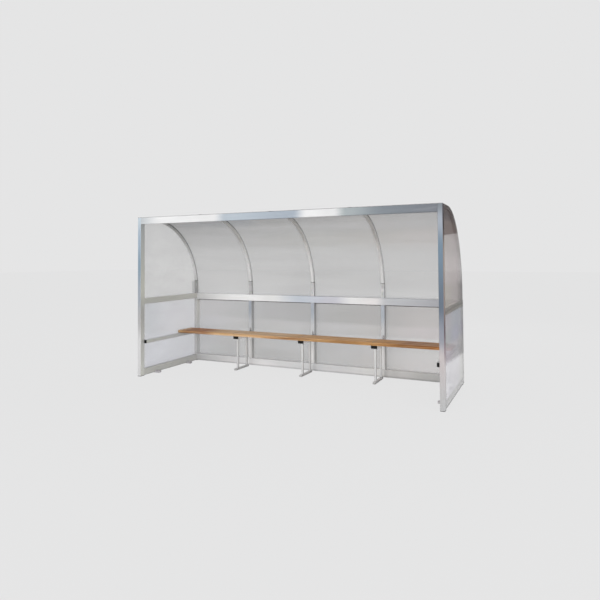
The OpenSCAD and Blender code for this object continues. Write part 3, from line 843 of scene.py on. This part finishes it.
back_rows = []
for left, right in ((-1.965, -1.04), (-0.96, -0.04), (0.04, 0.96), (1.04, 1.965)):
    for z in (0.055, 0.985):
        back_rows.append(straight(left, BACK_OUT, z, right, BACK_OUT, z, (0, 1, 0)))
for x in MIDDLES:
    back_rows.append(straight(x, BACK_OUT + STRIP_OUT, 0.10, x, BACK_OUT + STRIP_OUT, 0.96, (0, 1, 0)))
for x in (-1.972, 1.972):
    back_rows.append(straight(x, BACK_OUT, 0.17, x, BACK_OUT, 0.87, (0, 1, 0)))
in_rows("back_screws", screw_tree, back_rows, spacing=0.228, **SCREW)

end_rows = []
for side in (-1, 1):
    out, x = (side, 0, 0), side * END_OUT
    for z in (0.048, 0.978, 1.022):
        end_rows.append(straight(x, -0.58, z, x, 0.62, z, out))
    end_rows.append(straight(x, 0.645, 0.16, x, 0.645, 0.87, out))
    end_rows.append((round_row(x, 0.997, 8, 88)[0], Vector(out)))
in_rows("end_screws", screw_tree, end_rows, spacing=0.24, **SCREW)


# ---- Frame bolts ----
# Two round-headed plated bolts hold each rib in its socket: from the front on
# the three middle ribs, and from the inside on the two at the ends.

def dome_bolt(t, radius, height):
    return weld_ripple(t, radius, height, 14, 8)


bolt_tree = rows_tree("dome_bolts", dome_bolt, False)
bolt_metal = cast_grey("plated_bolt", (0.42, 0.42, 0.43), (0.24, 0.24, 0.25), 0.8, 0.34)
LOWER_BOLT, UPPER_BOLT = 1.086, 1.186
pairs = []
for x in MIDDLES:
    pairs.append(straight(x, SOCKET_FRONT, LOWER_BOLT, x, SOCKET_FRONT, UPPER_BOLT, (0, -1, 0)))
for side in (-1, 1):
    x = side * 1.955
    pairs.append(straight(x, 0.636, LOWER_BOLT, x, 0.636, UPPER_BOLT, (-side, 0, 0)))
in_rows("socket_bolts", bolt_tree, pairs, spacing=0.10, radius=0.0062, height=0.0036,
        metal=bolt_metal, slot="fittings")


# ---- Bench frame ----
# A tube along each end wall, with a packing strip on it, and three wider ones between them carry the seat.
# The middle ones stand on two thin legs with a bar on the ground, all aluminium and welded. Black push-in
# caps close the front ends of all five, and grey plugs the ends of the bars.

# Painted light: the end bearers' faces turned to the ends are lighter.
dress(aluminium(
    "end_bearer_aluminium", DEPTH, -0.63, 0.69,
    [(0.0, (0.54, 0.55, 0.56)), (1.0, (0.50, 0.51, 0.52))],
    [(0.0, (0.60, 0.60, 0.56)), (1.0, (0.66, 0.68, 0.70))]),
    "seat_bearer_left", "seat_bearer_right")
# Painted light: the middle bearers' side faces are nearly white, against the shade under the boards.
dress(aluminium(
    "middle_bearer_aluminium", DEPTH, 0.19, 0.61,
    [(0.0, (0.50, 0.50, 0.51)), (1.0, (0.44, 0.44, 0.45))],
    [(0.0, 0.95), (1.0, 0.95)], 0.2),
    "seat_bearers_middle")
# Painted shade: the stands' faces turned to the ends are darker. The stands are also darker at the foot.
dress(aluminium(
    "stand_aluminium", HEIGHT, 0.0, 0.44,
    [(0.0, 0.56), (0.08, 0.70), (1.0, (0.70, 0.70, 0.69))],
    [(0.0, 0.50), (1.0, (0.56, 0.56, 0.55))]),
    "bench_stand_1", "bench_stand_2", "bench_stand_3")


def black_plastic(name):
    f = Finish(name)
    pebble = f.noise(700.0, 2.0, 0.5)
    patchy = f.noise(60.0, 3.0, 0.6)
    f.fill(f.shader, {
        "Base Color": f.mix(f.band(patchy, 0.4, 0.75), 0.004, (0.012, 0.012, 0.013)),
        "Roughness": 0.48 + 0.25 * (patchy - 0.5), "Specular IOR Level": 0.2,
        "Normal": f.bump(pebble, 0.35, 0.0004)})
    return f.material


def eased_box(form, low, high, ease, steps=2):
    """A box with eased edges, added to an open mesh."""
    made = bmesh.ops.create_cube(form, size=1.0)["verts"]
    middle, size = (Vector(low) + Vector(high)) / 2, Vector(high) - Vector(low)
    for v in made:
        v.co = Vector(v.co[i] * size[i] + middle[i] for i in range(3))
    edges = {e for v in made for e in v.link_edges}
    bmesh.ops.bevel(form, geom=list(edges), offset=ease, segments=steps, profile=0.5, affect="EDGES")


bearer_low, bearer_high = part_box("seat_bearers_middle")
end_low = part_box("seat_bearer_left")[0]
cap_form = bmesh.new()
cap_spots = [(x, 0.080, bearer_low.y, bearer_low.z, bearer_high.z) for x in MIDDLES]
cap_spots += [(side * 1.93, 0.040, end_low.y, end_low.z, end_low.z + 0.045) for side in (-1, 1)]
for x, width, front, low, high in cap_spots:
    left, right = x - width / 2, x + width / 2
    eased_box(cap_form, (left, front - 0.0040, low), (right, front, high), 0.0014)
    eased_box(cap_form, (left + 0.006, front - 0.0052, low + 0.006),
              (right - 0.006, front - 0.003, high - 0.006), 0.0009)
caps = finished("bearer_end_caps", cap_form, black_plastic("cap_plastic"))
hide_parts("bearer_caps")

plug_form = bmesh.new()
bar_low, bar_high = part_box("bench_stand_2")
for x in MIDDLES:
    for y, out in ((bar_low.y, -1), (bar_high.y, 1)):
        near, far = sorted((y - 0.0004 * out, y + 0.0016 * out))
        eased_box(plug_form, (x - 0.0155, near, 0.0025), (x + 0.0155, far, 0.0225), 0.0008)
finished("foot_bar_plugs", plug_form, rubber("plug_plastic", 0.40, (0.52, 0.52, 0.51)))


# ---- Tie angles ----
# Small pressed steel angles behind the seat, one at each middle upright, each
# with two bolts into the upright and two into the bearer below it.

angle_form = bmesh.new()
top = bearer_high.z
ties = []
for x in MIDDLES:
    left, right, middle = x - 0.006, x + 0.022, x + 0.008
    eased_box(angle_form, (left, 0.6010, top + 0.002), (right, 0.6048, top + 0.065), 0.0010)
    eased_box(angle_form, (left, 0.5650, top + 0.0002), (right, 0.6040, top + 0.0040), 0.0010)
    ties.append(straight(middle, 0.6010, top + 0.024, middle, 0.6010, top + 0.050, (0, -1, 0)))
    ties.append(straight(middle, 0.5780, top + 0.004, middle, 0.5890, top + 0.004, (0, 0, 1)))
angle_steel = cast_grey("pressed_angle_steel", (0.48, 0.47, 0.47), 0.30, 0.4, 0.45)
finished("tie_angles", angle_form, angle_steel)
in_rows("tie_bolts", bolt_tree, ties, spacing=0.03, radius=0.0055, height=0.0034,
        metal=bolt_metal, slot="fittings")


# ---- Seat boards ----
# Three planed hardwood boards, oiled and gone warm brown, with eased edges
# and open end grain. The grain runs along each board and differs from board
# to board; round-headed bolts go through each board into the tubes below.

def oiled_wood(name, start, tone, near, far):
    """Start shifts the grain. Near and far are the board's long edges, along which the top is darker."""
    f = Finish(name)
    wander = f.noise((1.1, 9.0, 9.0), 3.0, 0.5, (start, start * 2, 0), 0.4)
    grain = f.noise((1.5, 70.0, 70.0), 5.0, 0.62, (start * 3, start, start), 1.1)
    fibre = f.noise((9.0, 620.0, 620.0), 3.0, 0.7, (start, 0, 0))
    pores = f.noise((28.0, 420.0, 420.0), 2.0, 0.5, (0, start, 0))
    mottle = f.noise((2.2, 10.0, 10.0), 4.0, 0.6, (start, start, 7.0))
    figure = ((grain * 0.70 + wander * 0.30 - 0.5) * 1.5 + 0.5 + (fibre - 0.5) * 0.16).within()
    skin = f.ramp(figure, [
        (0.30, (0.20, 0.090, 0.030)), (0.43, (0.46, 0.26, 0.11)), (0.52, (0.66, 0.42, 0.20)),
        (0.62, (0.76, 0.54, 0.32)), (0.78, (0.86, 0.68, 0.46))])
    skin = f.mix(f.band(mottle, 0.45, 0.75) * 0.5, skin, (0.78, 0.46, 0.20))
    skin = f.mix(f.band(mottle, 0.55, 0.25) * 0.45, skin, (0.40, 0.22, 0.09))
    # The top faces are lighter in places.
    facing_up = f.band(f.facing[HEIGHT], 0.4, 0.9)
    skin = f.mix(facing_up * (0.42 + 0.35 * f.band(wander, 0.35, 0.65)), skin, (0.90, 0.64, 0.42))
    skin = f.mix(f.band(pores, 0.66, 0.80) * 0.45, skin, (0.12, 0.06, 0.025))
    to_edge = (f.along[DEPTH] - near).least(far - f.along[DEPTH]) + 0.004 * (wander - 0.5)
    border = 1.0 - f.band(to_edge, 0.004, 0.016)
    skin = f.mix(border * facing_up * 0.6, skin, (0.24, 0.115, 0.045))
    # Painted highlights and painted shade: along the bench, the front faces and the tops take their own light
    # and dark lengths, the same on every board.
    run = f.along[LENGTH] / 4.0 + 0.5 + 0.05 * (wander - 0.5)
    faces = f.ramp(run, [
        (0.02, (0.85, 0.82, 0.80)), (0.05, (0.60, 0.49, 0.44)), (0.13, (0.54, 0.44, 0.44)),
        (0.20, (0.96, 0.92, 0.92)), (0.45, (0.98, 0.94, 1.0)), (0.50, (0.80, 0.76, 0.80)),
        (0.60, (0.78, 0.72, 0.64)), (0.74, (0.85, 0.75, 0.62)), (0.80, (0.76, 0.63, 0.50)),
        (0.86, (0.60, 0.47, 0.37)), (0.96, (0.76, 0.54, 0.38))])
    tops = f.ramp(run, [
        (0.02, 1.0), (0.05, (0.50, 0.30, 0.17)), (0.11, (0.54, 0.31, 0.17)), (0.19, (0.93, 0.88, 0.80)),
        (0.25, 1.0), (0.42, 1.0), (0.50, (0.89, 0.76, 0.60)), (0.62, (0.96, 0.79, 0.56)),
        (0.71, (1.0, 0.82, 0.56)), (0.80, (0.82, 0.60, 0.32)), (0.86, (0.58, 0.37, 0.20)),
        (0.96, (0.60, 0.42, 0.24))])
    skin = f.mix(1.0, skin, f.mix(facing_up, faces, tops), "MULTIPLY")
    skin = f.mix(f.end_faces(0.7, 0.9) * 0.75, skin, (0.17, 0.075, 0.03))
    skin = f.mix(1.0 - tone, skin, (0.10, 0.06, 0.03))
    f.fill(f.shader, {
        "Base Color": skin, "Roughness": 0.46 + 0.25 * (grain - 0.5), "Specular IOR Level": 0.2,
        "Normal": f.bump(grain * 0.6 + fibre * 0.4, 0.5, 0.0012)})
    return f.material


for number, (board, tone) in enumerate((("front", 1.0), ("middle", 0.93), ("rear", 0.97)), 1):
    low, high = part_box("seat_board_" + board)
    plank_form = bmesh.new()
    eased_box(plank_form, low, high, 0.0045, 3)
    wood = oiled_wood("oiled_wood_" + board, number * 3.7, tone, low.y, high.y)
    plank = finished("bench_plank_" + board, plank_form, wood)
    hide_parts("seat_board_" + board)

FROM_EDGE, HALF_STEP = 0.026, 0.0001
across = []
for x in (-1.926, *MIDDLES, 1.926):
    for board in ("front", "middle", "rear"):
        low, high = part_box("seat_board_" + board)
        for y in (low.y + FROM_EDGE, high.y - FROM_EDGE):
            across.append(straight(x, y - HALF_STEP, high.z, x, y + HALF_STEP, high.z, (0, 0, 1)))
in_rows("seat_bolts", bolt_tree, across, spacing=0.01, radius=0.0080, height=0.0030,
        metal=bolt_metal, slot="fittings")


# ---- Pads and anchor lugs ----
# Black rubber pads under the four corners and drilled galvanised blocks that
# stick out inside the end walls at the ground, for bolting the shelter down.

dress(rubber("pad_rubber"), "corner_pads")
dress(cast_grey("galvanised_lug", (0.62, 0.60, 0.62), (0.46, 0.45, 0.47), 0.3, 0.5), "ground_lugs")
